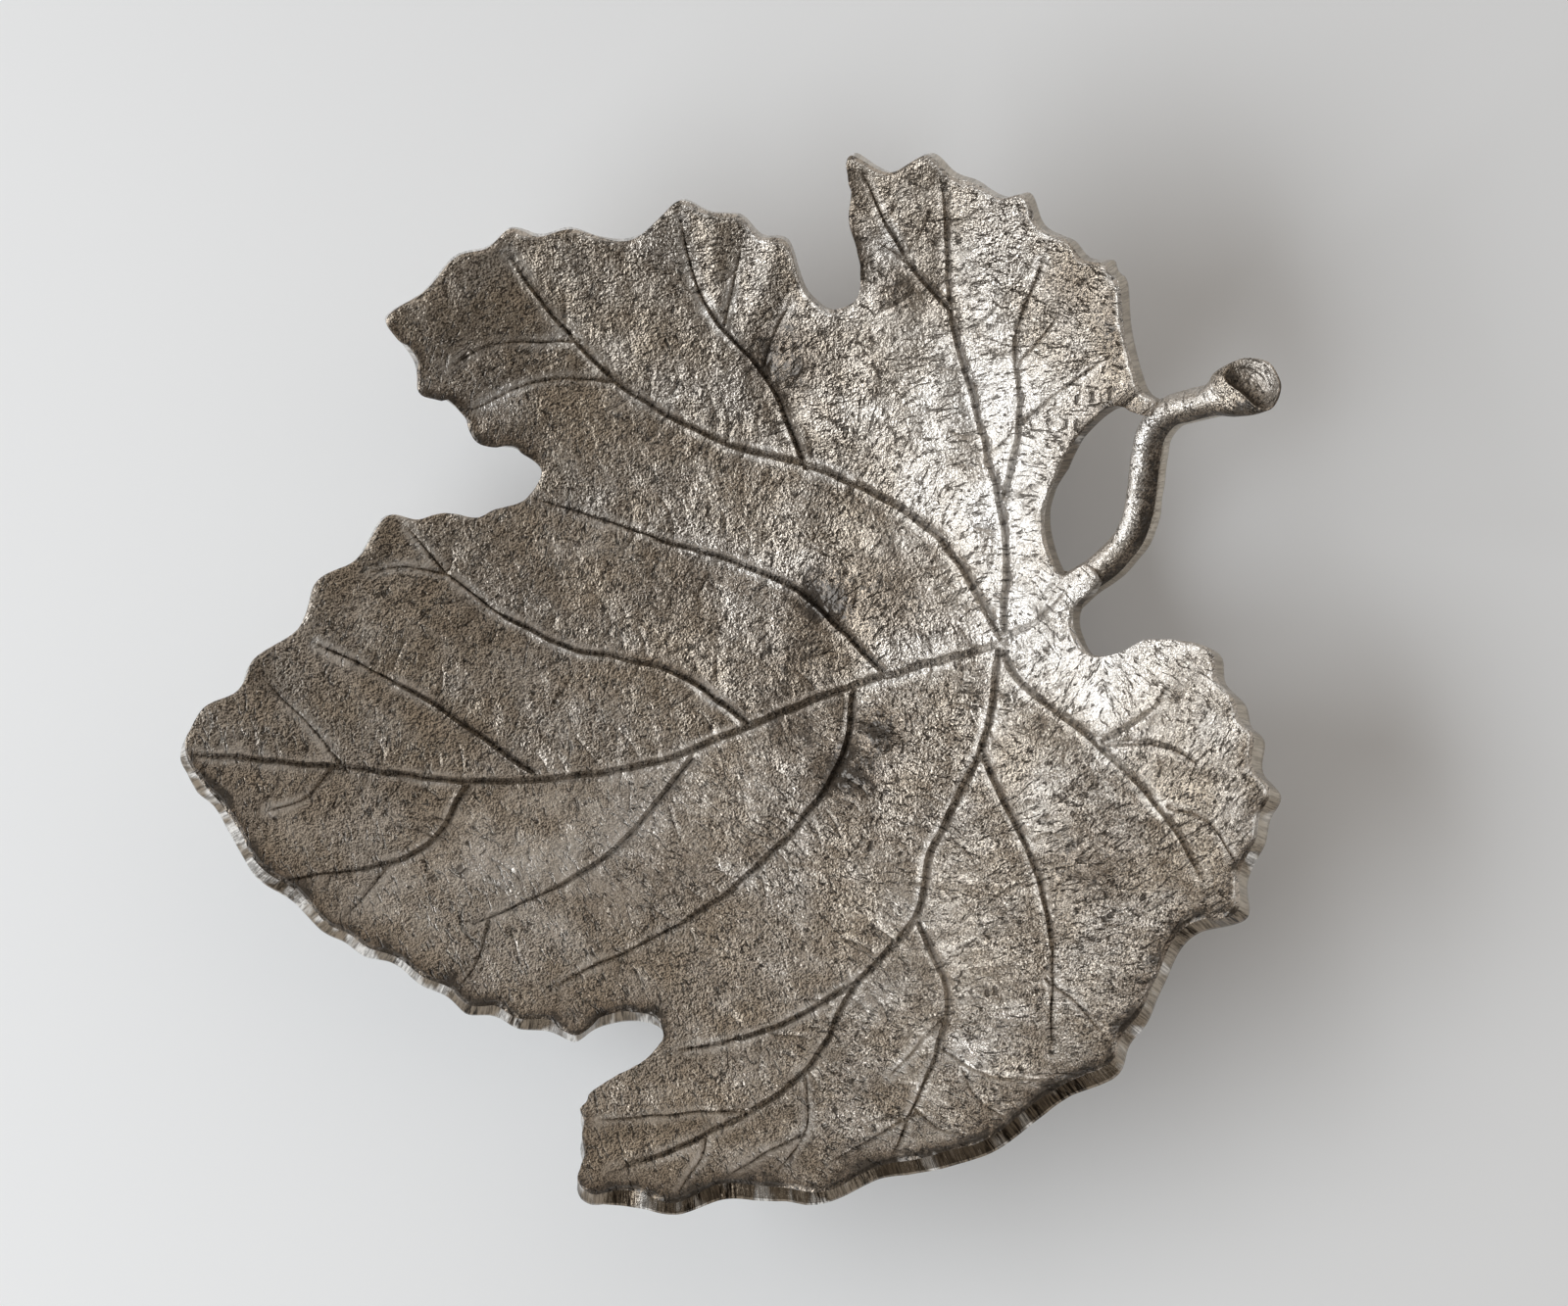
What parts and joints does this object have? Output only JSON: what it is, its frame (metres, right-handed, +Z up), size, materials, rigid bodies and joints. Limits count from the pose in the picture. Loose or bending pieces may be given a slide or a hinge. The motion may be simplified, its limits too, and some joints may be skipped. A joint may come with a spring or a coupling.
{
  "type": "leaf-shaped decorative bowl",
  "caption": "Dished five-lobed cast metal leaf with grooved veins, a scalloped ground edge, a stalk that forms a finger loop, and rubber feet.",
  "frame": {"origin": "middle of the bowl's footprint, at the surface it stands on", "axes": "+Z up, +X towards the stalk's side of the leaf and along its longest extent, +Y towards the lobe beside the finger loop"},
  "size_m": [0.2487, 0.2387, 0.0609],
  "materials": {
    "cast_metal": "sand-cast, nickel-toned, dark in the veins, with a ground edge",
    "stalk_metal": "sand-cast, nickel-toned, rubbed bright along its crest",
    "rubber": "matt"
  },
  "bodies": {
    "root": {"leaf_bowl": "cast_metal", "stalk_handle": "stalk_metal", "rubber_foot_1": "rubber", "rubber_foot_2": "rubber", "rubber_foot_3": "rubber"}
  },
  "joints": []
}
